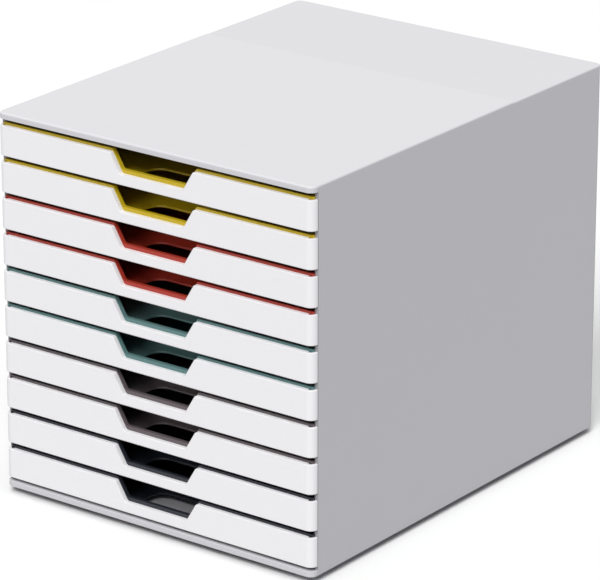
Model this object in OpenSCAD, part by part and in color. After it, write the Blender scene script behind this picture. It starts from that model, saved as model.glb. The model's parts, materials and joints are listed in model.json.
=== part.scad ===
// Desktop drawer box for A4 and C4 papers: a closed casing of flat moulded shells on four rubber
// feet, with a stack of shallow trays that hang by their rims in runner channels. Each coloured
// tray carries a white clip-on front that covers the full width of the box and wraps round its
// upright corners. +Z is up, the drawers open along -Y, and the origin is under the middle of the
// box, on the surface that the feet stand on.

/* [Casing] */
// Overall width
case_w = 280; // [270:1:400]
// Overall depth, from the drawer fronts to the rear wall
case_d = 356; // [320:1:450]
// Radius of the upright corners, which the fronts follow
corner_r = 6; // [5:0.5:8]
// Thickness of the side walls
side_t = 3; // [2.4:0.1:4]
// Thickness of the flat sheets of base, cover and rear wall
sheet_t = 2.5; // [2:0.1:3]
// Thickness of the skirts under the base and the cover
skirt_t = 2.5; // [2:0.1:3]
// Height of the base moulding, seen as the lip below the lowest front
base_h = 4.5; // [4.2:0.1:10]
// Height of the cover moulding, seen as the lip above the highest front
cover_h = 4.7; // [4.2:0.1:10]
// Radius of the cover's upper edges
cover_edge_r = 1.5; // [0.4:0.1:2]
// Length of the raised front field of the cover
field_d = 240; // [120:1:300]
// Step from the raised field down to the rear of the cover
field_step = 0.4; // [0.2:0.1:1]
// Width of the strip that each side wall turns round the rear corner
return_w = 12; // [9:0.5:25]

/* [Drawers] */
// Number of drawers
drawer_count = 10; // [2:1:12]
// Height of one drawer's place in the stack
drawer_pitch = 27.5; // [26:0.5:60]
// Gap between the base moulding and the lowest front
base_gap = 2.8; // [1:0.1:6]
// Gap between one front and the next
front_gap = 5.1; // [4:0.1:7]
// How far a drawer pulls out before its stops meet
drawer_travel = 245; // [120:1:270]
// Wall thickness of the trays
tray_wall = 1.8; // [1.4:0.1:2.4]
// Floor thickness of the trays
tray_floor = 1.6; // [1.4:0.1:2.4]
// Thickness of a tray's front wall
tray_front_t = 2; // [1.6:0.1:2.4]
// Height of a tray's underside above the lower edge of its front
tray_lift = 1.4; // [0.6:0.1:2]
// Free height between a tray's rim and the next tray's underside
tray_head = 6.4; // [6:0.1:8]
// Height of the coloured edge that shows above each front
strip_h = 1.7; // [0.5:0.1:2.5]
// Free depth between a closed tray's rim and the rear wall
rear_gap = 3.6; // [1:0.1:12]
// Radius of a tray's rear corners
tray_corner_r = 5; // [3:0.5:12]

/* [Fronts] */
// Depth of a front's edges, where they rest on the tray
front_t = 4; // [2.8:0.1:4.5]
// Thickness of a front's outer skin
front_skin = 2; // [1.6:0.1:2.4]
// Radius of a front's outer edges
front_edge_r = 0.7; // [0.4:0.1:1.4]

/* [Handle] */
// Width of the handle cut-out at its lower edge
handle_low_w = 55.8; // [40:0.1:80]
// Width of the handle cut-out at the top edge of the front
handle_top_w = 73.4; // [60:0.1:100]
// Depth of the handle cut-out below the top edge of the front
handle_depth = 14.6; // [10:0.1:16]
// Radius of the cut-out's lower corners
handle_r = 2.5; // [1.5:0.1:4]
// Radius where the cut-out runs out into the top edge
crown_r = 2; // [1.5:0.1:4]
// Height of the coloured wall that shows along the cut-out's lower edge
handle_sill = 2.6; // [1:0.1:5]
// Width of the coloured wall that shows along the cut-out's slanted edges
handle_reveal = 0.5; // [0.2:0.1:1.5]
// Depth of the turned-in edge round the tray's own cut-out
handle_flange = 3.3; // [2.6:0.1:6]
// Distance from the drawer's face to the far edge of the finger cut-out in the tray floor
finger_reach = 40.7; // [32:0.1:60]
// Radius of the finger cut-out's far corners
finger_r = 10; // [4:0.5:12]

/* [Runners] */
// How far the runner ribs stand out from the side walls
rib_w = 5; // [4:0.1:8]
// Thickness of the runner ribs
rib_t = 2.2; // [1.8:0.1:2.4]
// Thickness of the tray rim that slides between the ribs
rim_t = 1.8; // [1.4:0.1:2.2]
// Vertical play of the tray rim between its ribs, above and below
rim_play = 0.3; // [0.2:0.05:0.5]
// Sideways play of the tray, on each side
side_play = 0.6; // [0.4:0.1:1]

/* [Feet] */
// Height of the box above the surface it stands on
foot_h = 5; // [3:0.5:15]
// Diameter of a foot
foot_d = 18; // [12:1:30]
// Distance of a foot's middle from the sides of the box
foot_inset = 24; // [20:1:50]

/* [Hidden] */
shell_nodes = ["base_shell", "left_side_wall", "right_side_wall", "rear_wall", "top_cover"];
foot_nodes = ["foot_front_left", "foot_front_right", "foot_rear_left", "foot_rear_right"];
tray_nodes = [for (i = [1:drawer_count]) str("tray_", i)];
front_nodes = [for (i = [1:drawer_count]) str("front_", i)];

$fn = 64;
arc_steps = 5;          // flats in a small moulded radius
over = 1;               // how far a body runs past the face that it cuts or joins

shell_grey = [0.80, 0.80, 0.82];
front_white = [0.95, 0.95, 0.96];
rubber_grey = [0.22, 0.22, 0.23];
// Tray colours, shared out from the highest drawer to the lowest
tray_colours = [
    [0.86, 0.72, 0.16], [0.76, 0.25, 0.20], [0.36, 0.53, 0.52], [0.44, 0.38, 0.40], [0.17, 0.18, 0.20]
];

// Fits between pieces that do not move on each other
seam = 0.3;             // between a front's wrapped edge and what lies behind it
fit = 0.15;             // round the feet, tongues and clips

// Levels, from the surface the feet stand on
base_top = foot_h + base_h;
lid_z = base_top + base_gap + drawer_count * drawer_pitch;
case_h = lid_z + cover_h;

// Casing, with X measured from the middle of the box
front_y = -case_d / 2;
rear_y = case_d / 2;
corner_x = case_w / 2 - corner_r;
wall_x = case_w / 2 - side_t;
wall_back = front_t + tray_front_t; // from a drawer's face to the inside of its front wall
wall_front = front_y + max(corner_r, wall_back) + seam;
rear_lap_t = 2;         // thickness of the rear wall's edges, behind the side walls' returns
rear_inner = case_d - side_t - rear_lap_t;
grid_t = 1.5;           // thickness of the ribs under base and cover
rib_relief = 0.2;       // how far those ribs stay back from the skirt's edge
seam_edge_r = 0.3;      // radius of the shells' edges where two pieces meet
base_edge_r = 0.8;      // radius of the base's lower edges
ceiling_z = case_h - field_step - sheet_t;

// Locking tongues of the side walls, in slots of the base and behind rails of the cover
tongue_l = 40;
tongue_t = 2.4;
tongue_gap = 0.25;
tongue_x = case_w / 2 - skirt_t - tongue_gap;
tongue_end = 58;        // distance of the outer tongues' middles from front and rear
tongue_y = [for (f = [-1, 0, 1]) f * (case_d / 2 - tongue_end)];

// Feet and their sockets in the base
foot_sink = 1.2;
foot_rim = 2.5;
foot_edge_r = 1;

// Sizes of a tray and its rim; X from the middle, Y back from the drawer's face, Z up from the
// lower edge of its front
front_h = drawer_pitch - front_gap;
tray_h = drawer_pitch - tray_head;
tray_top = tray_lift + tray_h;
rib_x = wall_x - rib_w;
tray_half_w = rib_x - side_play;
rim_half_w = wall_x - side_play;
rear_rim_w = 3;
tray_rear = rear_inner - rear_gap - rear_rim_w;
cove_r = 3;             // inside, where the walls meet the floor
heel_r = 1.6;           // outside, under the walls
draft = 0.15;           // how much wider the inside is at its top
end_r = corner_r - front_skin - seam;
sill_flange_t = 1.2;    // thickness of the turned-in edge at the handle
finger_sill = 4;        // floor left between that edge and the finger cut-out

// Runner ribs of the side walls, by the same levels
low_rib_z = tray_top - rim_t - rim_play - rib_t;
high_rib_z = tray_top + rim_play;
rib_start = 4;          // from a side wall's front edge to its ribs
rib_lead = 4;           // length of a rib's slanted lead-in
rib_tip = 1;            // how far a rib stands out at its front end
rib_end_gap = 1;        // from a rib's rear end to the rear wall

// Pull-out stops: a nub near the rear of a tray meets a block under the runner rib
nub_l = 5;
nub_w = 4;
nub_h = 4.4;
nub_inset = 10;         // from the tray's rear to the nub's front face
nub_y = tray_rear - nub_inset;
stop_l = 6;
stop_gap = 0.3;         // left between nub and block with the drawer pulled out
stop_clear = 1;         // between a stop block and the tray's side
stop_y = nub_y - drawer_travel - stop_gap;

// Clips that hold a front to its tray
rim_edge_t = 1.6;       // thickness of a front's upper and lower edges
clip_w = 8;
clip_t = 1.6;
clip_z = 6;
clip_hook = 0.6;
clip_nose = 1.6;
clip_handle_gap = 22;   // from the handle cut-out's upper end to a clip's middle
clip_side_gap = 16;     // from a clip's middle to the tray's side
clip_right_x = [handle_top_w / 2 + clip_handle_gap, tray_half_w - clip_side_gap];
clip_x = concat(-clip_right_x, clip_right_x);

crown_lift = 10;        // degrees between a handle cut-out's end and the wall's top
handle_slant = atan((handle_top_w - handle_low_w) / 2 / handle_depth);
// Each handle cut-out as [half its lower width, level of its lower edge, level of the wall's top]
front_handle = [handle_low_w / 2, front_h - handle_depth, front_h];
tray_handle = [
    front_handle[0] + handle_sill * tan(handle_slant) - handle_reveal / cos(handle_slant),
    front_handle[1] + handle_sill,
    front_h + strip_h
];
finger_near = front_t + handle_flange + finger_sill;

// Level of the lower edge of a drawer's front; drawer 1 is the highest
function cell_z(i) = base_top + base_gap + (drawer_count - i) * drawer_pitch;

function tray_colour(i) = tray_colours[floor((i - 1) * len(tray_colours) / drawer_count)];

// Points along an arc about c from angle a to angle b
function arc(c, r, a, b) = [
    for (i = [0:arc_steps]) c + r * [cos(a + (b - a) * i / arc_steps), sin(a + (b - a) * i / arc_steps)]
];

// The points of a half outline, followed by their mirror image in X
function both_sides(half) = concat(half, [for (i = [len(half) - 1:-1:0]) [-half[i].x, half[i].y]]);

// Lower corner of a handle cut-out, grown by g, from its level edge to its slanted one
function handle_corner(cut, g) =
    arc([cut[0] - handle_r * (1 - sin(handle_slant)) / cos(handle_slant), cut[1] + handle_r],
        handle_r + g, -90, -handle_slant);

// Outline of a handle cut-out, grown by g all round. At the wall's top it runs out at the small
// angle crown_lift and goes on past it.
function handle_outline(cut, g) =
    let (
        rise = cut[2] - crown_r - cut[1],
        crown = [cut[0] + (crown_r + rise * sin(handle_slant)) / cos(handle_slant), cut[2] - crown_r],
        crown_arc = arc(crown, crown_r - g, 180 - handle_slant, 90 + crown_lift),
        end = crown_arc[arc_steps]
    )
    both_sides(concat(
        handle_corner(cut, g),
        crown_arc,
        [end + (cut[2] + over - end.y) * [1 / tan(crown_lift), 1]]
    ));

// Outline of the wall's edge along a handle cut-out, g wide
function handle_band(cut, g) = both_sides(concat(
    handle_corner(cut, g),
    [[cut[0] + (cut[2] - cut[1]) * tan(handle_slant) + g / cos(handle_slant), cut[2]]]
));

// Plan outline of a tray's pan, g inside its outer faces, from the given depth to the rear
function pan_outline(g, front) =
    let (r = max(tray_corner_r - g, 1), x = tray_half_w - g, y = tray_rear - g)
    both_sides(concat([[x, front]], arc([x - r, y - r], r, 0, 90)));

// Rounding between a level floor and a wall, in n flats, as [height, distance in from the wall]
function foot_of_wall(r, n) = [for (i = [0:n]) r * [1 - cos(90 * i / n), 1 - sin(90 * i / n)]];

// Plan outline of the finger cut-out, as wide as the handle cut-out's lower edge
function finger_outline() =
    let (x = handle_low_w / 2, r = finger_r, near_r = finger_r / 3)
    both_sides(concat(
        arc([x - near_r, finger_near + near_r], near_r, -90, 0),
        arc([x - r, finger_reach - r], r, 0, 90)
    ));

// Outer edge of a front, from its lower rounding to its upper one, as depth and height
function front_edge() = concat(
    arc([front_edge_r, front_edge_r], front_edge_r, 270, 180),
    arc([front_edge_r, front_h - front_edge_r], front_edge_r, 180, 90)
);

// Edge of a flat moulded shell: a sheet on top and a skirt below, h high in all
function shell_profile(h, top_r, low_r) = concat(
    arc([low_r, low_r], low_r, 270, 180),
    arc([top_r, h - top_r], top_r, 180, 90),
    [[corner_r, h], [corner_r, h - sheet_t], [skirt_t, h - sheet_t], [skirt_t, 0]]
);

// Box between two corners
module block(low, high) {
    translate(low) cube(high - low);
}

// Both halves of something that is the same left and right
module both() {
    children();
    mirror([1, 0, 0]) children();
}

// Solid through a list of rings of points, each with as many points as the next. The second half
// of a ring mirrors its first half, so the two ends are closed by strips from side to side.
module skin(rings) {
    n = len(rings[0]);
    last = (len(rings) - 1) * n;
    polyhedron(
        points = [for (ring = rings, p = ring) p],
        faces = concat(
            [for (i = [0:n / 2 - 2]) [i, i + 1, n - 2 - i, n - 1 - i]],
            [for (i = [0:n / 2 - 2]) [last + n - 1 - i, last + n - 2 - i, last + i + 1, last + i]],
            [
                for (k = [0:n:last - n], i = [0:n - 1], half = [0, 1])
                    let (a = k + i, b = k + (i + 1) % n)
                    half == 0 ? [a, b + n, b] : [a, a + n, b + n]
            ]
        )
    );
}

// Bar of a given profile along X; the profile's x is depth behind the outer face, its y is height
module bar(profile, length) {
    translate([-length / 2, 0, 0]) rotate([90, 0, 90]) linear_extrude(length) polygon(profile);
}

// The same profile turned through the front right upright corner of a box
module turned_corner(profile, r) {
    rotate([0, 0, 270]) rotate_extrude(angle = 90) polygon([for (p = profile) [r - p.x, p.y]]);
}

// The same profile carried all round a box with rounded upright corners
module carried_round(profile, w, d, r) {
    for (m = [0, 1]) {
        mirror([0, m, 0]) translate([0, -d / 2, 0]) bar(profile, w - 2 * r);
        mirror([m, 0, 0]) translate([w / 2, 0, 0]) rotate([0, 0, 90]) bar(profile, d - 2 * r);
        for (k = [0, 1])
            mirror([m, 0, 0]) mirror([0, k, 0])
                translate([w / 2 - r, r - d / 2, 0]) turned_corner(profile, r);
    }
}

// Flat shell with its sheet, its skirt and a grid of stiffening ribs under the sheet
module flat_shell(h, top_r, low_r) {
    inner_w = case_w - 2 * corner_r;
    inner_d = case_d - 2 * corner_r;
    rib_end = tongue_x - 3 * tongue_t;
    carried_round(shell_profile(h, top_r, low_r), case_w, case_d, corner_r);
    block([-inner_w / 2, -inner_d / 2, h - sheet_t], [inner_w / 2, inner_d / 2, h]);
    for (f = [-1, 0, 1])
        block(
            [f * inner_w / 4 - grid_t / 2, -inner_d / 2, rib_relief],
            [f * inner_w / 4 + grid_t / 2, inner_d / 2, h - sheet_t]
        );
    for (f = [-1.5, -0.5, 0.5, 1.5])
        block(
            [-rib_end, f * inner_d / 4 - grid_t / 2, rib_relief],
            [rib_end, f * inner_d / 4 + grid_t / 2, h - sheet_t]
        );
}

// The four places of the feet
module at_feet() {
    for (x = [-1, 1], y = [-1, 1])
        translate([x * (case_w / 2 - foot_inset), y * (case_d / 2 - foot_inset), foot_h]) children();
}

module base_shell() {
    color(shell_grey) difference() {
        union() {
            translate([0, 0, foot_h]) flat_shell(base_h, seam_edge_r, base_edge_r);
            at_feet() cylinder(d = foot_d + 2 * foot_rim, h = base_h - sheet_t);
        }
        translate([0, 0, -over]) at_feet() cylinder(d = foot_d + 2 * fit, h = foot_sink + over);
        for (y = tongue_y)
            both() block(
                [tongue_x - tongue_t - fit, y - tongue_l / 2 - fit, foot_h - over],
                [case_w / 2 - skirt_t, y + tongue_l / 2 + fit, base_top + over]
            );
    }
}

// The cover's shell, with its top level h above the lower edge
module cover_shell(h) {
    translate([0, 0, lid_z]) flat_shell(h, cover_edge_r, seam_edge_r);
}

// The cover's place, as far back as its raised field goes
module field_zone() {
    block(
        [-case_w / 2 - over, front_y - over, lid_z - over],
        [case_w / 2 + over, front_y + field_d, case_h + over]
    );
}

module top_cover() {
    rail_x = tongue_x - tongue_t - fit;
    color(shell_grey) union() {
        intersection() {
            cover_shell(cover_h);
            field_zone();
        }
        difference() {
            cover_shell(cover_h - field_step);
            field_zone();
        }
        for (y = tongue_y)
            both() block(
                [rail_x - tongue_t, y - tongue_l / 2, lid_z],
                [rail_x, y + tongue_l / 2, ceiling_z + sheet_t / 2]
            );
    }
}

// One runner rib on the right-hand side wall, its underside at level z
module runner_rib(z) {
    start = wall_front + rib_start;
    end = front_y + rear_inner - rib_end_gap;
    translate([0, 0, z]) linear_extrude(rib_t)
        polygon([
            [wall_x + over, start],
            [wall_x - rib_tip, start],
            [rib_x, start + rib_lead],
            [rib_x, end],
            [wall_x + over, end]
        ]);
}

// Stop block under a runner rib, with a slope that lets the tray's nub in from the front
module stop_block(z) {
    x = tray_half_w + stop_clear;
    y = front_y + stop_y;
    translate([0, 0, z - nub_h - 2 * seam]) linear_extrude(nub_h + 2 * seam + rib_t / 2)
        polygon([[wall_x + over, y], [x, y], [x, y - stop_l / 2], [wall_x, y - stop_l], [wall_x + over, y - stop_l]]);
}

// The right-hand side wall, with its turned rear corner, its runners and its tongues
module side_wall() {
    wall_h = lid_z - base_top;
    under_lid = cell_z(1) + high_rib_z + rib_t;
    union() {
        block([wall_x, wall_front, base_top], [case_w / 2, rear_y - corner_r, lid_z]);
        translate([corner_x, rear_y - corner_r, base_top])
            rotate_extrude(angle = 90) translate([corner_r - side_t, 0]) square([side_t, wall_h]);
        block([case_w / 2 - return_w, rear_y - side_t, base_top], [corner_x, rear_y, lid_z]);
        for (i = [1:drawer_count]) {
            runner_rib(cell_z(i) + low_rib_z);
            runner_rib(cell_z(i) + high_rib_z);
            stop_block(cell_z(i) + low_rib_z);
        }
        for (y = tongue_y) {
            block(
                [tongue_x - tongue_t, y - tongue_l / 2, foot_h + 2 * seam],
                [tongue_x, y + tongue_l / 2, base_top + tongue_t]
            );
            block(
                [tongue_x - tongue_t, y - tongue_l / 2, under_lid - rib_t / 2],
                [tongue_x, y + tongue_l / 2, ceiling_z - fit]
            );
        }
    }
}

module right_side_wall() {
    color(shell_grey) side_wall();
}

module left_side_wall() {
    color(shell_grey) mirror([1, 0, 0]) side_wall();
}

module rear_wall() {
    half_w = case_w / 2 - return_w - fit;
    lap_w = 10;
    face = rear_y - side_t;
    color(shell_grey) union() {
        block([-half_w, face, base_top], [half_w, face + sheet_t, lid_z]);
        both() block([half_w - lap_w, face - rear_lap_t, base_top], [corner_x, face, lid_z]);
        for (f = [1, 2, 3])
            translate([0, 0, base_top + f * (lid_z - base_top) / 4])
                block([-half_w, face - rear_lap_t, -grid_t / 2], [half_w, face + sheet_t / 2, grid_t / 2]);
    }
}

module foot(x, y) {
    color(rubber_grey)
        translate([x * (case_w / 2 - foot_inset), y * (case_d / 2 - foot_inset), 0])
            rotate_extrude() polygon(concat(
                [[0, 0]],
                arc([foot_d / 2 - foot_edge_r, foot_edge_r], foot_edge_r, 270, 360),
                [[foot_d / 2, foot_h + foot_sink], [0, foot_h + foot_sink]]
            ));
}

// Front wall of a tray; its ends follow the inside of the front's turned corners
module tray_front_wall() {
    low = -asin((corner_r - front_t) / end_r);
    high = -asin((corner_r - wall_back) / end_r);
    translate([0, 0, tray_lift]) linear_extrude(tray_handle[2] - tray_lift)
        polygon(both_sides(arc([corner_x, corner_r], end_r, low, high)));
}

// Upright plate of the given outline, from depth y0 to y1
module upright(outline, y0, y1) {
    translate([0, y1, 0]) rotate([90, 0, 0]) linear_extrude(y1 - y0) polygon(outline);
}

// Nub that stops a drawer at the end of its travel, with a slope towards the rear
module stop_nub() {
    translate([0, 0, low_rib_z - seam - nub_h]) linear_extrude(nub_h) polygon([
        [tray_half_w - tray_wall / 2, nub_y],
        [tray_half_w + nub_w, nub_y],
        [tray_half_w + nub_w, nub_y + nub_l / 3],
        [tray_half_w, nub_y + nub_l],
        [tray_half_w - tray_wall / 2, nub_y + nub_l]
    ]);
}

// Flat rim round the top of a tray, which hangs on the runner ribs
module tray_rim() {
    r = tray_corner_r + rear_rim_w;
    y = tray_rear + rear_rim_w;
    translate([0, 0, tray_top - rim_t]) linear_extrude(rim_t)
        polygon(both_sides(concat([[rim_half_w, front_t]], arc([rim_half_w - r, y - r], r, 0, 90))));
}

// A tray in its own place, with Y measured from the drawer's face and Z from its lower edge
module tray_body() {
    outside = concat(foot_of_wall(heel_r, 2), [[tray_h, 0]]);
    inside = concat(foot_of_wall(cove_r, 3), [[tray_h, -draft]]);
    floor_z = tray_lift + tray_floor;
    difference() {
        union() {
            difference() {
                union() {
                    skin([for (l = outside) [
                        for (p = pan_outline(l[1], front_t + l[1])) [p.x, p.y, tray_lift + l[0]]
                    ]]);
                    tray_front_wall();
                    tray_rim();
                    both() stop_nub();
                }
                skin([for (l = inside) [
                    for (p = pan_outline(tray_wall + l[1], wall_back + l[1])) [p.x, p.y, floor_z + l[0]]
                ]]);
            }
            upright(handle_band(tray_handle, sill_flange_t), front_t, front_t + handle_flange);
        }
        upright(handle_outline(tray_handle, 0), 0, front_t + handle_flange + over);
        linear_extrude(floor_z + over) polygon(finger_outline());
        for (x = clip_x)
            block(
                [x - clip_w / 2 - fit, 0, clip_z - clip_t / 2 - fit],
                [x + clip_w / 2 + fit, wall_back + over, clip_z + clip_t / 2 + clip_hook + fit]
            );
    }
}

module tray(i) {
    color(tray_colour(i)) translate([0, front_y, cell_z(i)]) tray_body();
}

// Barbed clip on the back of a front
module clip() {
    tip = wall_back + fit + clip_nose;
    bar([
        [front_skin / 2, -clip_t / 2],
        [tip, -clip_t / 2],
        [tip, clip_t / 2],
        [tip - clip_nose / 2, clip_t / 2 + clip_hook],
        [wall_back + fit, clip_t / 2 + clip_hook],
        [wall_back + fit, clip_t / 2],
        [front_skin / 2, clip_t / 2]
    ], clip_w);
}

// A front in its own place, with Y measured from its face and Z from its lower edge
module front_body() {
    panel = concat(front_edge(), [
        [front_t, front_h],
        [front_t, front_h - rim_edge_t],
        [front_skin, front_h - rim_edge_t],
        [front_skin, rim_edge_t],
        [front_t, rim_edge_t],
        [front_t, 0]
    ]);
    wrap = concat(front_edge(), [[front_skin, front_h], [front_skin, 0]]);
    difference() {
        union() {
            bar(panel, 2 * corner_x);
            both() translate([corner_x, corner_r, 0]) turned_corner(wrap, corner_r);
            upright(handle_band(front_handle, rim_edge_t), front_skin / 2, front_t);
        }
        upright(handle_outline(front_handle, 0), -over, front_t + over);
    }
    for (x = clip_x)
        translate([x, 0, clip_z]) clip();
}

module front(i) {
    color(front_white) translate([0, front_y, cell_z(i)]) front_body();
}

base_shell();
left_side_wall();
right_side_wall();
rear_wall();
top_cover();
foot(-1, -1);  // foot_front_left
foot(1, -1);  // foot_front_right
foot(-1, 1);  // foot_rear_left
foot(1, 1);  // foot_rear_right
for (i = [1:drawer_count]) {
    tray(i);
    front(i);
}
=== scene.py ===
"""A desktop drawer box, dressed for its picture.

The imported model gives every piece's place. Here the moulded pieces get soft edges, the side walls
and the drawer fronts are made anew, and each plastic gets its own grain and sheen.
Lengths are in millimetres and angles in degrees, and both are converted where Blender takes them.
"""
import json
import math

import bmesh
import bpy
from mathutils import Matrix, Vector


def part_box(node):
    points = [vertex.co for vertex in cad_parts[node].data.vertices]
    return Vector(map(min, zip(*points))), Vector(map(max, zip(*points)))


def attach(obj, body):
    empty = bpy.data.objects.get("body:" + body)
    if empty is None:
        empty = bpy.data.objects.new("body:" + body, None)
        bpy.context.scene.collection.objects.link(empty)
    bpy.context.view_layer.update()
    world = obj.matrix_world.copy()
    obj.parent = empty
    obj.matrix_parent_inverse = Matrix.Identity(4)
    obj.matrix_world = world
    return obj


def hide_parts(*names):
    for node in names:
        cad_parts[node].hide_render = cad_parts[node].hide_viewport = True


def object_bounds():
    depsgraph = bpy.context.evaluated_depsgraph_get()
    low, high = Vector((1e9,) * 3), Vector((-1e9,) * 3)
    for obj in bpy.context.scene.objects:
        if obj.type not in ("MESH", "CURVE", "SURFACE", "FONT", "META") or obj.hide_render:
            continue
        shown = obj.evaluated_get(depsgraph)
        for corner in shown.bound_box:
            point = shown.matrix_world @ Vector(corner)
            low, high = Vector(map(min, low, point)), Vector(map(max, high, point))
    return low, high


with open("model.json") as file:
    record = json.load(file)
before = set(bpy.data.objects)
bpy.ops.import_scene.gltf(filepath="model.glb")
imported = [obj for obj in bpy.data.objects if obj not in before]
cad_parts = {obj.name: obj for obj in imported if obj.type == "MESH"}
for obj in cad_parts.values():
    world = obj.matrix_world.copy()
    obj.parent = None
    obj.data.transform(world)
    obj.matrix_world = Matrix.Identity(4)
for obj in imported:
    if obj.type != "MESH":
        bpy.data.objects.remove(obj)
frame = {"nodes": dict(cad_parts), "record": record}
cad_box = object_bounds()
nodes = frame["nodes"]
bodies = frame["record"]["behaviour"]["bodies"]

MM = 0.001

# The casing, with X and Y from its middle
CASE_W = round((cad_box[1].x - cad_box[0].x) / MM, 1)
CASE_D = round((cad_box[1].y - cad_box[0].y) / MM, 1)
CORNER_R = 6.0
SIDE_T = 3.0
RETURN_W = 12.0  # how far the side walls turn in at the rear
SEAM = 0.3  # gap behind the fronts' turned ends
WALL_X = CASE_W / 2 - SIDE_T
WALL_FRONT = CORNER_R + SEAM - CASE_D / 2

# Locking tongues of the side walls, which reach into the base and past the cover's lower edge
TONGUE_END = 58.0  # from front and rear to the middles of the outer tongues
TONGUE_PLACES = [side * (CASE_D / 2 - TONGUE_END) for side in (-1, 0, 1)]
TONGUE_INSET = 2.75  # from the casing's side to a tongue
TONGUE_X = CASE_W / 2 - TONGUE_INSET
TONGUE_L = 40.0
TONGUE_T = 2.4
TONGUE_LOW = 3.9
TONGUE_HIGH = 3.0
TONGUE_RISE = 2.05

# Runner ribs and stop blocks on the side walls, with levels from a front's lower edge
RIB_W = 5.0
RIB_T = 2.2
RIB_LEVELS = (18.2, 22.8)
RIB_START = 4.0
RIB_TIP = 1.0
RIB_LEAD = 4.0
RIB_REAR_GAP = 6.0  # from the casing's rear to a rib's end
RIB_END = CASE_D / 2 - RIB_REAR_GAP
STOP_W = 4.6
STOP_L = 6.0
STOP_H = 5.0
STOP_PLACE = 89.1  # from the drawers' face to a block's rear

# Drawer fronts
FRONT_SKIN = 2.0
FRONT_DEPTH = 4.0
FRONT_EDGE_R = 0.7
RIM_T = 1.6
RIM_CHAMFER = 0.2
TRAY_FRONT_T = 2.0
END_SHARE = 0.35  # how much of an inset the turned ends take

# Handle cut-out of a front
HANDLE_LOW_W = 55.8
HANDLE_TOP_W = 73.4
HANDLE_DEPTH = 14.6
HANDLE_R = 2.5
CROWN_R = 2.0
LEAST_CROWN_R = 0.3

# Barbed clips on the back of a front
CLIP_HANDLE_GAP = 22.0  # from the handle cut-out to a clip's middle
CLIP_SIDE_GAP = 24.6  # from a clip's middle to the casing's side
CLIP_PLACES = (HANDLE_TOP_W / 2 + CLIP_HANDLE_GAP, CASE_W / 2 - CLIP_SIDE_GAP)
CLIP_LEVEL = 6.0
CLIP_W = 8.0
CLIP_T = 1.6
CLIP_HOOK = 0.6
CLIP_NOSE = 1.6
CLIP_CHAMFER = 0.1
CLIP_FIT = 0.15

# Small roundings of the hard edges, which are those that turn by more than HARD_EDGE
MOULDED_ROUND = 0.25
SHEET_ROUND = 0.12
RIB_ROUND = 0.3
ROUND_STEPS = 2
HARD_EDGE = 40

# Smooth shading breaks at edges that turn by more than these, and large faces weigh most in it
SHARP_EDGE = 35
FRONT_SHARP_EDGE = 50
FLATS_FIRST = 100

# How near is the same
SPECK = 0.001  # points of one place
LOOSE_SPECK = 0.002  # points of one place in the loose triangles of a solid
FLAT_TURN = 0.5  # faces of one flat
ON_LEVEL = 0.02  # an edge on a level
FIELD_REACH = 0.1  # a face on the cover's raised field
SEAM_REACH = 0.36  # a point on the rounded edges, of 0.3, where the model's shells meet

# Steps in the turns and straights of the fronts and walls
CORNER_STEPS = 12
HANDLE_STEPS = 8
RUN_STEPS = 5
EDGE_STEPS = 6

# Colours as the eye reads them on the page, before any light falls on them
SHELL_GREY = (204, 203, 206)
FRONT_WHITE = (237, 236, 237)
FOOT_GREY = (52, 52, 54)
TRAY_COLOURS = {
    "yellow": (192, 166, 25),
    "red": (165, 52, 39),
    "teal": (90, 124, 123),
    "mauve": (95, 86, 88),
    "charcoal": (35, 38, 46),
}
FIELD_LIFT = 1.03  # the cover's raised field beside the rest of it
SEAM_SHADE = 0.35  # painted shade in a seam, beside the plastic's own colour
FACE_SHADE = 0.65  # how much of that painted shade lies on the wall's front face, inside its outer edge

# Mesh attributes that are 1 on rounded edges, on the raised field, and where shade is painted
EDGE_MARK = "edge"
FIELD_MARK = "field"
SHADE_MARK = "seam"

# Mould grain: shares of the fine and the coarse noise, and scales beside the fine and the mottle
FINE_SHARE = 0.65
COARSE_SHARE = 0.35
COARSE_SCALE = 0.35
POLISH_SCALE = 3.7
POLISH_CHANGE = 0.02  # how far the patchy polish takes the roughness up and down

# ---------------------------------------------------------------- plastics


def new_group(name, inputs, outputs):
    """An empty shader node group with the given float inputs and outputs."""
    group = bpy.data.node_groups.new(name, "ShaderNodeTree")
    for label, value in inputs.items():
        socket = group.interface.new_socket(label, in_out="INPUT", socket_type="NodeSocketFloat")
        socket.default_value = value
    for label in outputs:
        group.interface.new_socket(label, in_out="OUTPUT", socket_type="NodeSocketFloat")
    start = group.nodes.new("NodeGroupInput")
    end = group.nodes.new("NodeGroupOutput")
    return group, start, end


def noise(tree, coords, scale, detail=2.0, roughness=0.5):
    """A noise texture on the given coordinates, with its scale from a socket."""
    node = tree.nodes.new("ShaderNodeTexNoise")
    node.inputs["Detail"].default_value = detail
    node.inputs["Roughness"].default_value = roughness
    tree.links.new(coords, node.inputs["Vector"])
    tree.links.new(scale, node.inputs["Scale"])
    return node.outputs["Fac"]


def math_node(tree, operation, a, b):
    """A Math node on two values, each a number or a socket."""
    node = tree.nodes.new("ShaderNodeMath")
    node.operation = operation
    for socket, value in zip(node.inputs, (a, b)):
        if isinstance(value, (int, float)):
            socket.default_value = value
        else:
            tree.links.new(value, socket)
    return node.outputs[0]


def map_range(tree, value, from_low, from_high, to_low, to_high):
    """A clamped Map Range node between plain numbers."""
    node = tree.nodes.new("ShaderNodeMapRange")
    tree.links.new(value, node.inputs["Value"])
    for label, number in (
        ("From Min", from_low),
        ("From Max", from_high),
        ("To Min", to_low),
        ("To Max", to_high),
    ):
        node.inputs[label].default_value = number
    return node.outputs["Result"]


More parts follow.
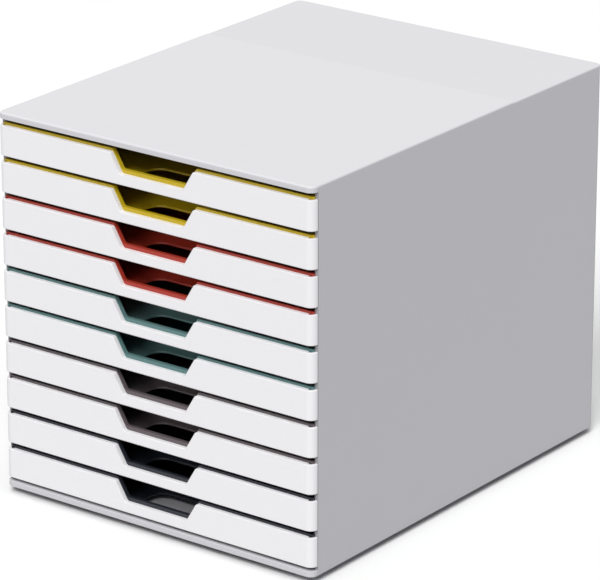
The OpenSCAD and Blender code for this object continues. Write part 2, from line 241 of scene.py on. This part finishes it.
def mix_colour(tree, factor, a, b, blend="MIX"):
    """A colour mix by a factor's socket; a and b are colours or sockets."""
    node = tree.nodes.new("ShaderNodeMix")
    node.data_type = "RGBA"
    node.blend_type = blend
    tree.links.new(factor, node.inputs["Factor"])
    for socket, value in ((node.inputs[6], a), (node.inputs[7], b)):
        if isinstance(value, tuple):
            socket.default_value = value
        else:
            tree.links.new(value, socket)
    return node.outputs[2]


def mesh_mark(tree, name):
    """The value of one of the meshes' marks, which is 0 where a mesh has none."""
    node = tree.nodes.new("ShaderNodeAttribute")
    node.attribute_name = name
    return node.outputs["Fac"]


def moulded_grain_group():
    """Spark-eroded mould grain: a fine height, a slow mottle and a patchy polish."""
    group, start, end = new_group(
        "moulded_grain",
        {"Grain per metre": 2600.0, "Mottle per metre": 14.0},
        ["Height", "Mottle", "Polish"],
    )
    coords = group.nodes.new("ShaderNodeTexCoord").outputs["Object"]
    grain = start.outputs["Grain per metre"]
    slow = start.outputs["Mottle per metre"]
    fine = noise(group, coords, grain, detail=3.0, roughness=0.6)
    coarse = noise(group, coords, math_node(group, "MULTIPLY", grain, COARSE_SCALE))
    fine = math_node(group, "MULTIPLY", fine, FINE_SHARE)
    coarse = math_node(group, "MULTIPLY", coarse, COARSE_SHARE)
    mottle = noise(group, coords, slow, detail=4.0)
    polish = noise(group, coords, math_node(group, "MULTIPLY", slow, POLISH_SCALE), detail=3.0)
    group.links.new(math_node(group, "ADD", fine, coarse), end.inputs["Height"])
    group.links.new(mottle, end.inputs["Mottle"])
    group.links.new(polish, end.inputs["Polish"])
    return group


def edge_wear_and_light_group():
    """Mask of the rounded edges, which the meshes mark, broken up as handling rubs them; it places
    edge wear and the painted light and shade of the edges.
    """
    group, start, end = new_group("edge_wear", {"Breaks per metre": 60.0}, ["Edge"])
    coords = group.nodes.new("ShaderNodeTexCoord").outputs["Object"]
    breaks = noise(group, coords, start.outputs["Breaks per metre"], detail=4.0, roughness=0.6)
    broken = map_range(group, breaks, from_low=0.35, from_high=0.7, to_low=0.35, to_high=1.0)
    edge = math_node(group, "MULTIPLY", mesh_mark(group, EDGE_MARK), broken)
    group.links.new(edge, end.inputs["Edge"])
    return group


GRAIN = moulded_grain_group()
EDGE_WEAR_AND_LIGHT = edge_wear_and_light_group()


def linear(rgb):
    """A page colour as the three linear values that light works with."""
    shares = (value / 255 for value in rgb)
    return tuple(c / 12.92 if c <= 0.04045 else ((c + 0.055) / 1.055) ** 2.4 for c in shares)


def opaque(rgb):
    """A colour of three values as the four that a shader's socket takes."""
    return tuple(rgb) + (1.0,)


def moulded_plastic(name, rgb, roughness, grain_mm, grain_depth, mottle, edge_wear_and_light, specular):
    """Moulded plastic: its colour, a slow mottle, edges of wear and painted light, and a fine mould
    grain.

    The rounded edges are paler for a setting above 0, as wear and a painted highlight together, and
    darker for one below 0, as painted shade over their highlight. A raised field, where a mesh
    marks one, is a touch paler, as a smoother part of the mould makes it, and a marked seam is
    darker, as painted shade."""
    material = bpy.data.materials.new(name)
    material.use_nodes = True
    tree = material.node_tree
    shader = tree.nodes["Principled BSDF"]
    grain = tree.nodes.new("ShaderNodeGroup")
    grain.node_tree = GRAIN
    grain.inputs["Grain per metre"].default_value = 1 / (grain_mm * MM)
    edge_mask = tree.nodes.new("ShaderNodeGroup")
    edge_mask.node_tree = EDGE_WEAR_AND_LIGHT
    base = linear(rgb)
    field = opaque(c * FIELD_LIFT for c in base)
    duller = opaque([1 - mottle] * 3)
    # Edge tone: above 0 it is wear together with a painted highlight, below 0 painted shade that
    # dims the edges' highlight
    painted_and_worn_edge = opaque(c + (1 - c) * edge_wear_and_light for c in base)
    seam_shade_colour = opaque(c * SEAM_SHADE for c in base)
    colour = mix_colour(tree, mesh_mark(tree, FIELD_MARK), opaque(base), field)
    colour = mix_colour(tree, grain.outputs["Mottle"], colour, duller, blend="MULTIPLY")
    colour = mix_colour(tree, edge_mask.outputs["Edge"], colour, painted_and_worn_edge)
    # Painted shade in the marked seam
    colour = mix_colour(tree, mesh_mark(tree, SHADE_MARK), colour, seam_shade_colour)
    tree.links.new(colour, shader.inputs["Base Color"])
    polish = map_range(
        tree,
        grain.outputs["Polish"],
        from_low=0.3,
        from_high=0.7,
        to_low=roughness - POLISH_CHANGE,
        to_high=roughness + POLISH_CHANGE,
    )
    tree.links.new(polish, shader.inputs["Roughness"])
    shader.inputs["Specular IOR Level"].default_value = specular
    bump = tree.nodes.new("ShaderNodeBump")
    bump.inputs["Strength"].default_value = 1.0
    bump.inputs["Distance"].default_value = grain_depth * MM
    tree.links.new(grain.outputs["Height"], bump.inputs["Height"])
    tree.links.new(bump.outputs["Normal"], shader.inputs["Normal"])
    return material


shell_plastic = moulded_plastic(
    "shell_plastic",
    SHELL_GREY,
    roughness=0.62,
    grain_mm=0.45,
    grain_depth=0.006,
    mottle=0.008,
    edge_wear_and_light=0.10,
    specular=0.35,
)
front_plastic = moulded_plastic(
    "front_plastic",
    FRONT_WHITE,
    roughness=0.52,
    grain_mm=0.60,
    grain_depth=0.003,
    mottle=0.006,
    # Painted shade on the rounded edges, which dims their highlight
    edge_wear_and_light=-1.0,
    specular=0.30,
)
foot_rubber = moulded_plastic(
    "foot_rubber",
    FOOT_GREY,
    roughness=0.85,
    grain_mm=0.30,
    grain_depth=0.020,
    mottle=0.10,
    edge_wear_and_light=0.08,
    specular=0.25,
)
tray_plastics = {
    name: moulded_plastic(
        "tray_" + name,
        rgb,
        roughness=0.42,
        grain_mm=0.60,
        grain_depth=0.004,
        mottle=0.04,
        edge_wear_and_light=0.03,
        specular=0.45,
    )
    for name, rgb in TRAY_COLOURS.items()
}

# ---------------------------------------------------------------- moulded copies


def body_of(node):
    """The body that a node moves with."""
    return next(body for body, members in bodies.items() if node in members)


def finish_piece(node, ending, mesh, material):
    """Puts a finished mesh in the scene for the node that it stands for."""
    body = body_of(node)
    mesh.materials.clear()
    mesh.materials.append(material)
    piece = bpy.data.objects.new(node + ending, mesh)
    bpy.context.scene.collection.objects.link(piece)
    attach(piece, body)
    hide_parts(node)


def held(name, mesh):
    """An object in the scene that holds a mesh while modifiers work on it."""
    holder = bpy.data.objects.new(name, mesh)
    bpy.context.scene.collection.objects.link(holder)
    return holder


def plain_mesh(holder):
    """What an object's modifiers make of it, as a plain mesh; the object itself goes."""
    bpy.context.view_layer.update()
    evaluated = holder.evaluated_get(bpy.context.evaluated_depsgraph_get())
    mesh = bpy.data.meshes.new_from_object(evaluated)
    bpy.data.objects.remove(holder)
    return mesh


def shaded(mesh, sharp=SHARP_EDGE):
    """Smooth shading across the roundings that leaves the flats flat and breaks at real edges."""
    mesh.shade_smooth()
    mesh.set_sharp_from_angle(angle=math.radians(sharp))
    holder = held(mesh.name, mesh)
    weighting = holder.modifiers.new("flats_first", "WEIGHTED_NORMAL")
    weighting.mode = "FACE_AREA"
    weighting.weight = FLATS_FIRST
    weighting.keep_sharp = True
    return plain_mesh(holder)


def solid(name, work):
    """The mesh of a finished bmesh."""
    mesh = bpy.data.meshes.new(name)
    work.to_mesh(mesh)
    work.free()
    return mesh


def on_one_level(vertices, levels, reach):
    """Whether all the vertices lie within reach of one of the levels, which are in metres."""
    return any(all(abs(v.co.z - level) < reach * MM for v in vertices) for level in levels)


def soften(work, width, crisp=()):
    """Rounds the hard edges and marks the roundings; edges at the crisp levels stay as they are."""
    mark = work.loops.layers.float.new(EDGE_MARK)
    hard = [
        edge
        for edge in work.edges
        if len(edge.link_faces) == 2
        and edge.calc_face_angle() > math.radians(HARD_EDGE)
        and not on_one_level(edge.verts, crisp, ON_LEVEL)
    ]
    result = bmesh.ops.bevel(
        work,
        geom=hard,
        offset=width * MM,
        offset_type="OFFSET",
        segments=ROUND_STEPS,
        profile=0.5,
        affect="EDGES",
        clamp_overlap=True,
    )
    for face in result["faces"]:
        for loop in face.loops:
            loop[mark] = 1.0
    bmesh.ops.dissolve_degenerate(work, edges=work.edges, dist=SPECK * MM)


def tighten_seams(work, levels):
    """Squares the rounded edges at the given levels, beside and behind, up to the outline."""
    core = Vector((CASE_W / 2 - CORNER_R, CASE_D / 2 - CORNER_R)) * MM
    for vertex in work.verts:
        near = Vector([max(-far, min(at, far)) for at, far in zip(vertex.co.xy, core)])
        out = vertex.co.xy - near
        outside = out.length > (CORNER_R - SEAM_REACH) * MM
        behind_fronts = vertex.co.y > -core.y - ON_LEVEL * MM
        if outside and behind_fronts and on_one_level([vertex], levels, SEAM_REACH):
            vertex.co.xy = near + out.normalized() * CORNER_R * MM


def moulded_copy(node, crisp=()):
    """A copy of a node's solid with its flats joined and its hard edges softened."""
    work = bmesh.new()
    work.from_mesh(nodes[node].data)
    bmesh.ops.remove_doubles(work, verts=work.verts, dist=LOOSE_SPECK * MM)
    tighten_seams(work, crisp)
    turn = math.radians(FLAT_TURN)
    bmesh.ops.dissolve_limit(work, angle_limit=turn, verts=work.verts, edges=work.edges)
    soften(work, MOULDED_ROUND, crisp)
    return shaded(solid(node + "_moulded", work))


def mark_field(mesh):
    """Marks the raised field, which is the highest face of the cover."""
    mark = mesh.attributes.new(FIELD_MARK, "FLOAT", "CORNER")
    top = max(vertex.co.z for vertex in mesh.vertices)
    for face in mesh.polygons:
        if all(mesh.vertices[v].co.z > top - FIELD_REACH * MM for v in face.vertices):
            for corner in face.loop_indices:
                mark.data[corner].value = 1.0


seams = (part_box("base_shell")[1].z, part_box("top_cover")[0].z)
for node in ("base_shell", "rear_wall", "top_cover"):
    mesh = moulded_copy(node, seams)
    if node == "top_cover":
        mark_field(mesh)
    finish_piece(node, "_moulded", mesh, shell_plastic)

for node in sorted(n for n in nodes if n.startswith("foot_")):
    finish_piece(node, "_moulded", moulded_copy(node), foot_rubber)

tray_count = len([n for n in nodes if n.startswith("tray_")])
for number in range(1, tray_count + 1):
    node = f"tray_{number}"
    colour = list(TRAY_COLOURS)[(number - 1) * len(TRAY_COLOURS) // tray_count]
    finish_piece(node, "_moulded", moulded_copy(node), tray_plastics[colour])

# ---------------------------------------------------------------- side walls and their runners


def arc(centre, radius, start, end, steps):
    """Points along an arc, end included."""
    turn = [math.radians(start + (end - start) * k / steps) for k in range(steps + 1)]
    return [(centre[0] + radius * math.cos(a), centre[1] + radius * math.sin(a)) for a in turn]


def closed_form(work, near, far):
    """Faces of a closed form between two outlines with as many vertices each."""
    for k in range(len(near)):
        n = (k + 1) % len(near)
        work.faces.new((near[k], near[n], far[n], far[k]))
    work.faces.new(near[::-1])
    work.faces.new(far)


def prism(work, outline, low, high):
    """A closed upright prism of the given plan outline."""
    ends = [[work.verts.new(Vector((x, y, z)) * MM) for x, y in outline] for z in (low, high)]
    closed_form(work, *ends)


def wall_sheet(low, high):
    """The right-hand sheet with its turned rear corner, and its locking tongues above and below."""
    outer, rear = CASE_W / 2, CASE_D / 2
    corner = (outer - CORNER_R, rear - CORNER_R)
    outline = [(WALL_X, WALL_FRONT), (outer, WALL_FRONT)]
    outline += arc(corner, CORNER_R, 0, 90, CORNER_STEPS)
    outline += [(outer - RETURN_W, rear), (outer - RETURN_W, rear - SIDE_T)]
    outline += arc(corner, CORNER_R - SIDE_T, 90, 0, CORNER_STEPS)
    work = bmesh.new()
    prism(work, outline, low, high)
    inner = TONGUE_X - TONGUE_T
    for middle in TONGUE_PLACES:
        front, back = middle - TONGUE_L / 2, middle + TONGUE_L / 2
        place = [(inner, front), (TONGUE_X, front), (TONGUE_X, back), (inner, back)]
        prism(work, place, low - TONGUE_LOW, low + TONGUE_T)
        prism(work, place, high - TONGUE_HIGH, high + TONGUE_RISE)
    bmesh.ops.recalc_face_normals(work, faces=work.faces)
    soften(work, SHEET_ROUND, crisp=(low * MM, high * MM))
    # Painted shade on the wall's front edge: full on its outer strip, lighter on the rest of its
    # front face
    mark = work.loops.layers.float.new(SHADE_MARK)
    for face in work.faces:
        middle = face.calc_center_median() / MM
        if middle.y < WALL_FRONT + SHEET_ROUND:
            shade_share = 1.0 if middle.x > outer - SHEET_ROUND else FACE_SHADE
            for loop in face.loops:
                loop[mark] = shade_share
    return solid("wall_sheet", work)


def runner_set():
    """The two runner ribs and the stop block of one drawer, with z from the front's lower edge."""
    start = WALL_FRONT + RIB_START
    root, tip, rib = WALL_X + SIDE_T / 3, WALL_X - RIB_TIP, WALL_X - RIB_W
    plan = [(root, start), (tip, start), (rib, start + RIB_LEAD), (rib, RIB_END), (root, RIB_END)]
    rear, face = STOP_PLACE - CASE_D / 2, WALL_X - STOP_W
    bend, foot = rear - STOP_L / 2, rear - STOP_L
    block = [(root, rear), (face, rear), (face, bend), (WALL_X, foot), (root, foot)]
    work = bmesh.new()
    for level in RIB_LEVELS:
        prism(work, plan, level, level + RIB_T)
    prism(work, block, RIB_LEVELS[0] - STOP_H, RIB_LEVELS[0] + RIB_T / 2)
    bmesh.ops.recalc_face_normals(work, faces=work.faces)
    soften(work, RIB_ROUND)
    return solid("runner_set", work)


def runner_tree():
    """Geometry Nodes that stack a runner set once for each drawer on the wall that comes in."""
    tree = bpy.data.node_groups.new("runner_stack", "GeometryNodeTree")
    sockets = tree.interface
    sockets.new_socket("Wall", in_out="INPUT", socket_type="NodeSocketGeometry")
    sockets.new_socket("Runner set", in_out="INPUT", socket_type="NodeSocketObject")
    sockets.new_socket("Drawers", in_out="INPUT", socket_type="NodeSocketInt")
    sockets.new_socket("Lowest level", in_out="INPUT", socket_type="NodeSocketFloat")
    sockets.new_socket("Pitch", in_out="INPUT", socket_type="NodeSocketFloat")
    sockets.new_socket("Plastic", in_out="INPUT", socket_type="NodeSocketMaterial")
    sockets.new_socket("Wall with runners", in_out="OUTPUT", socket_type="NodeSocketGeometry")
    start = tree.nodes.new("NodeGroupInput")
    end = tree.nodes.new("NodeGroupOutput")
    levels = tree.nodes.new("GeometryNodeMeshLine")
    first = tree.nodes.new("ShaderNodeCombineXYZ")
    step = tree.nodes.new("ShaderNodeCombineXYZ")
    source = tree.nodes.new("GeometryNodeObjectInfo")
    stack = tree.nodes.new("GeometryNodeInstanceOnPoints")
    real = tree.nodes.new("GeometryNodeRealizeInstances")
    union = tree.nodes.new("GeometryNodeMeshBoolean")
    union.operation = "UNION"
    union.solver = "EXACT"
    union.inputs["Self Intersection"].default_value = True
    finish = tree.nodes.new("GeometryNodeSetMaterial")
    for a, b in (
        (start.outputs["Lowest level"], first.inputs["Z"]),
        (start.outputs["Pitch"], step.inputs["Z"]),
        (first.outputs["Vector"], levels.inputs["Start Location"]),
        (step.outputs["Vector"], levels.inputs["Offset"]),
        (start.outputs["Drawers"], levels.inputs["Count"]),
        (start.outputs["Runner set"], source.inputs["Object"]),
        (levels.outputs["Mesh"], stack.inputs["Points"]),
        (source.outputs["Geometry"], stack.inputs["Instance"]),
        (stack.outputs["Instances"], real.inputs["Geometry"]),
        (start.outputs["Wall"], union.inputs["Mesh 2"]),
        (real.outputs["Geometry"], union.inputs["Mesh 2"]),
        (union.outputs["Mesh"], finish.inputs["Geometry"]),
        (start.outputs["Plastic"], finish.inputs["Material"]),
        (finish.outputs["Geometry"], end.inputs["Wall with runners"]),
    ):
        tree.links.new(a, b)
    return tree


def stacked_wall(low, high, first_level, pitch, drawers):
    """The right-hand wall with its runners, as one plain mesh."""
    helper = held("runner_set", runner_set())
    wall = held("wall_sheet", wall_sheet(low, high))
    tree = runner_tree()
    modifier = wall.modifiers.new("runner_stack", "NODES")
    modifier.node_group = tree
    values = {
        "Runner set": helper,
        "Drawers": drawers,
        "Lowest level": first_level * MM,
        "Pitch": pitch * MM,
        "Plastic": shell_plastic,
    }
    for item in tree.interface.items_tree:
        if item.in_out == "INPUT" and item.name in values:
            modifier[item.identifier] = values[item.name]
    mesh = plain_mesh(wall)
    bpy.data.objects.remove(helper)
    return mesh


def mirrored(mesh, name):
    """The left-hand twin of a right-hand mesh, with its faces turned outwards again."""
    work = bmesh.new()
    work.from_mesh(mesh)
    for vertex in work.verts:
        vertex.co.x = -vertex.co.x
    bmesh.ops.reverse_faces(work, faces=work.faces)
    return solid(name, work)


wall_low, wall_high = (level / MM for level in seams)
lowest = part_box(f"front_{tray_count}")[0].z / MM
next_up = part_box(f"front_{tray_count - 1}")[0].z / MM
right_wall = stacked_wall(wall_low, wall_high, lowest, next_up - lowest, tray_count)
left_wall = mirrored(right_wall, "left_wall")
for node, mesh in (("right_side_wall", right_wall), ("left_side_wall", left_wall)):
    finish_piece(node, "_moulded", shaded(mesh), shell_plastic)

# ---------------------------------------------------------------- drawer fronts


def front_edge_line(width, height, inset):
    """Upper edge of a front laid flat, from its right end to its left, inset from the outline."""
    straight = width / 2 - CORNER_R
    turned = CORNER_R * math.pi / 2 - END_SHARE * inset
    slant = math.atan((HANDLE_TOP_W - HANDLE_LOW_W) / 2 / HANDLE_DEPTH)
    tilt = math.degrees(slant)
    low_x = HANDLE_LOW_W / 2 - HANDLE_R * (1 - math.sin(slant)) / math.cos(slant)
    low = (low_x, height - HANDLE_DEPTH + HANDLE_R)
    rise = HANDLE_DEPTH - CROWN_R
    crown_x = HANDLE_LOW_W / 2 + (CROWN_R + rise * math.sin(slant)) / math.cos(slant)
    crown = (crown_x, height - CROWN_R)
    turn = [straight + turned * k / CORNER_STEPS for k in range(CORNER_STEPS, -1, -1)]
    run = [straight + (crown_x - straight) * k / RUN_STEPS for k in range(1, RUN_STEPS)]
    half = [(along, height - inset) for along in turn + run]
    half += arc(crown, max(CROWN_R - inset, LEAST_CROWN_R), 90, 180 - tilt, HANDLE_STEPS)
    half += arc(low, HANDLE_R + inset, -tilt, -90, HANDLE_STEPS)
    return half + [(-along, z) for along, z in reversed(half)]


def front_rings():
    """Inset and depth of a front's rings, from its face round its edge to the back of its skin."""
    turn = [math.radians(90 * k / EDGE_STEPS) for k in range(EDGE_STEPS + 1)]
    edge = [(FRONT_EDGE_R * (1 - math.sin(a)), FRONT_EDGE_R * (1 - math.cos(a))) for a in turn]
    rim = [
        (0, FRONT_DEPTH - RIM_CHAMFER),
        (RIM_CHAMFER, FRONT_DEPTH),
        (RIM_T - RIM_CHAMFER, FRONT_DEPTH),
        (RIM_T, FRONT_DEPTH - RIM_CHAMFER),
    ]
    return edge + rim + [(RIM_T, FRONT_SKIN)]


def bent(along, z, depth, straight):
    """A point of a flat front, taken round the casing's corner where it lies past the straight."""
    if abs(along) <= straight:
        return Vector((along, depth, z)) * MM
    turn = (abs(along) - straight) / CORNER_R
    radius = CORNER_R - min(depth, FRONT_SKIN)
    x = math.copysign(straight + radius * math.sin(turn), along)
    return Vector((x, CORNER_R - radius * math.cos(turn), z)) * MM


def add_clip(work, middle):
    """A barbed clip on the back of a front."""
    root, half_t = FRONT_SKIN / 2, CLIP_T / 2
    hook = FRONT_DEPTH + TRAY_FRONT_T + CLIP_FIT
    tip = hook + CLIP_NOSE
    profile = [
        (root, -half_t),
        (tip - CLIP_CHAMFER, -half_t),
        (tip, CLIP_CHAMFER - half_t),
        (tip, half_t),
        (tip - CLIP_NOSE / 2, half_t + CLIP_HOOK),
        (hook, half_t + CLIP_HOOK),
        (hook, half_t),
        (root, half_t),
    ]
    ends = [
        [work.verts.new(Vector((x, y, CLIP_LEVEL + z)) * MM) for y, z in profile]
        for x in (middle - CLIP_W / 2, middle + CLIP_W / 2)
    ]
    closed_form(work, *ends)


def united(mesh, addition):
    """Two closed meshes as one, without the faces that lie inside."""
    holder = held(mesh.name, mesh)
    helper = held(addition.name, addition)
    union = holder.modifiers.new("union", "BOOLEAN")
    union.operation = "UNION"
    union.solver = "EXACT"
    union.object = helper
    joined = plain_mesh(holder)
    bpy.data.objects.remove(helper)
    return joined


def front_mesh(name, width, height):
    """A front's shell: rounded face edges, thick rims, and ends turned round the upright corners.

    Its rings are laid out flat and bent as they are made, and then its face and the back of its
    skin are closed."""
    straight = width / 2 - CORNER_R
    work = bmesh.new()
    loops = []
    for inset, depth in front_rings():
        upper = front_edge_line(width, height, inset)
        flat = upper + [(along, inset) for along, z in reversed(upper)]
        loops.append([work.verts.new(bent(along, z, depth, straight)) for along, z in flat])
    count = len(loops[0])
    mark = work.loops.layers.float.new(EDGE_MARK)
    for ring, (inner, outer) in enumerate(zip(loops, loops[1:])):
        for k in range(count):
            n = (k + 1) % count
            face = work.faces.new((inner[k], inner[n], outer[n], outer[k]))
            for loop in face.loops:
                loop[mark] = 1.0 if ring < EDGE_STEPS else 0.0
    for loop, order in ((loops[0], 1), (loops[-1], -1)):
        for k in range(count // 2 - 1):
            quad = [loop[k], loop[count - 1 - k], loop[count - 2 - k], loop[k + 1]]
            work.faces.new(quad[::order])
    bmesh.ops.remove_doubles(work, verts=work.verts, dist=SPECK * MM)
    bmesh.ops.dissolve_degenerate(work, edges=work.edges, dist=SPECK * MM)
    clips = bmesh.new()
    for x in CLIP_PLACES:
        for side in (-1, 1):
            add_clip(clips, side * x)
    for part in (work, clips):
        bmesh.ops.recalc_face_normals(part, faces=part.faces)
    return united(solid(name, work), solid(name + "_clips", clips))


for number in range(1, tray_count + 1):
    node = f"front_{number}"
    low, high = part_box(node)
    mesh = front_mesh(node + "_shell", (high.x - low.x) / MM, (high.z - low.z) / MM)
    for vertex in mesh.vertices:
        vertex.co += Vector((0, low.y, low.z))
    finish_piece(node, "_shell", shaded(mesh, FRONT_SHARP_EDGE), front_plastic)

# ---------------------------------------------------------------- floor, light and camera

# Lengths of this part are in metres, apart from those of the camera's film and lens
FLOOR_REACH = 6.0
FLOOR_SEEN = (0.82, 0.82, 0.82, 1.0)
FLOOR_SPREAD = (0.43, 0.43, 0.43, 1.0)
WHITE = (1.0, 1.0, 1.0, 1.0)
SKY_TINT = (0.98, 0.98, 1.07, 1.0)
SKY_LEVEL = 0.36
OVERHEAD_TINT = (1.0, 1.04, 0.88)
CAMERA_PLACE = (1.7297, -2.3043, 1.1981)
CAMERA_AZIMUTH = 36.97
CAMERA_ELEVATION = 20.24
CAMERA_LENS = 250.84
CAMERA_FILM = 36.0


def seen_directly(tree):
    """1 for rays that show a surface itself, in a gloss or through glass; 0 where light spreads."""
    path = tree.nodes.new("ShaderNodeLightPath").outputs
    direct = math_node(tree, "MAXIMUM", path["Is Camera Ray"], path["Is Glossy Ray"])
    return math_node(tree, "MAXIMUM", direct, path["Is Transmission Ray"])


def plain_floor():
    """A pale floor that keeps the box's shadow and throws back only part of the light."""
    mesh = bpy.data.meshes.new("floor")
    far = FLOOR_REACH
    corners = [(-far, -far, 0), (far, -far, 0), (far, far, 0), (-far, far, 0)]
    mesh.from_pydata(corners, [], [(0, 1, 2, 3)])
    material = bpy.data.materials.new("floor_paper")
    material.use_nodes = True
    tree = material.node_tree
    shader = tree.nodes["Principled BSDF"]
    colour = mix_colour(tree, seen_directly(tree), FLOOR_SPREAD, FLOOR_SEEN)
    tree.links.new(colour, shader.inputs["Base Color"])
    shader.inputs["Roughness"].default_value = 1.0
    shader.inputs["Specular IOR Level"].default_value = 0.0
    mesh.materials.append(material)
    floor = bpy.data.objects.new("floor", mesh)
    bpy.context.scene.collection.objects.link(floor)


def aimed(name, data, azimuth, elevation):
    """A lamp or camera in the scene that looks down from an azimuth and an elevation."""
    holder = bpy.data.objects.new(name, data)
    holder.rotation_euler = (math.radians(90 - elevation), 0, math.radians(azimuth))
    bpy.context.scene.collection.objects.link(holder)
    return holder


def soft_sun(name, azimuth, elevation, level, spread, tint=(1.0, 1.0, 1.0)):
    """Soft light from far off; level is how brightly it shows pure white that faces it."""
    light = bpy.data.lights.new(name, "SUN")
    light.color = tint
    light.energy = level * math.pi
    light.angle = math.radians(spread)
    aimed(name, light, azimuth, elevation)


def background(tree, colour, strength):
    """Light of one colour from all round, as a shader."""
    node = tree.nodes.new("ShaderNodeBackground")
    node.inputs["Color"].default_value = colour
    node.inputs["Strength"].default_value = strength
    return node.outputs["Background"]


def studio_world():
    """Even light from all round, in front of plain white."""
    world = bpy.data.worlds.new("studio")
    world.use_nodes = True
    tree = world.node_tree
    tree.nodes.clear()
    mix = tree.nodes.new("ShaderNodeMixShader")
    out = tree.nodes.new("ShaderNodeOutputWorld")
    tree.links.new(seen_directly(tree), mix.inputs["Fac"])
    tree.links.new(background(tree, SKY_TINT, SKY_LEVEL), mix.inputs[1])
    tree.links.new(background(tree, WHITE, 1.0), mix.inputs[2])
    tree.links.new(mix.outputs["Shader"], out.inputs["Surface"])
    bpy.context.scene.world = world


def camera():
    """The camera at the photograph's viewing angle."""
    data = bpy.data.cameras.new("camera")
    data.sensor_width = CAMERA_FILM
    data.lens = CAMERA_LENS
    eye = aimed("camera", data, CAMERA_AZIMUTH, CAMERA_ELEVATION)
    eye.location = CAMERA_PLACE
    bpy.context.scene.camera = eye


plain_floor()
studio_world()
soft_sun("key", azimuth=24, elevation=48, level=0.86, spread=30)
soft_sun("overhead", azimuth=24, elevation=88, level=0.235, spread=25, tint=OVERHEAD_TINT)
camera()
bpy.context.scene.view_settings.view_transform = "Standard"
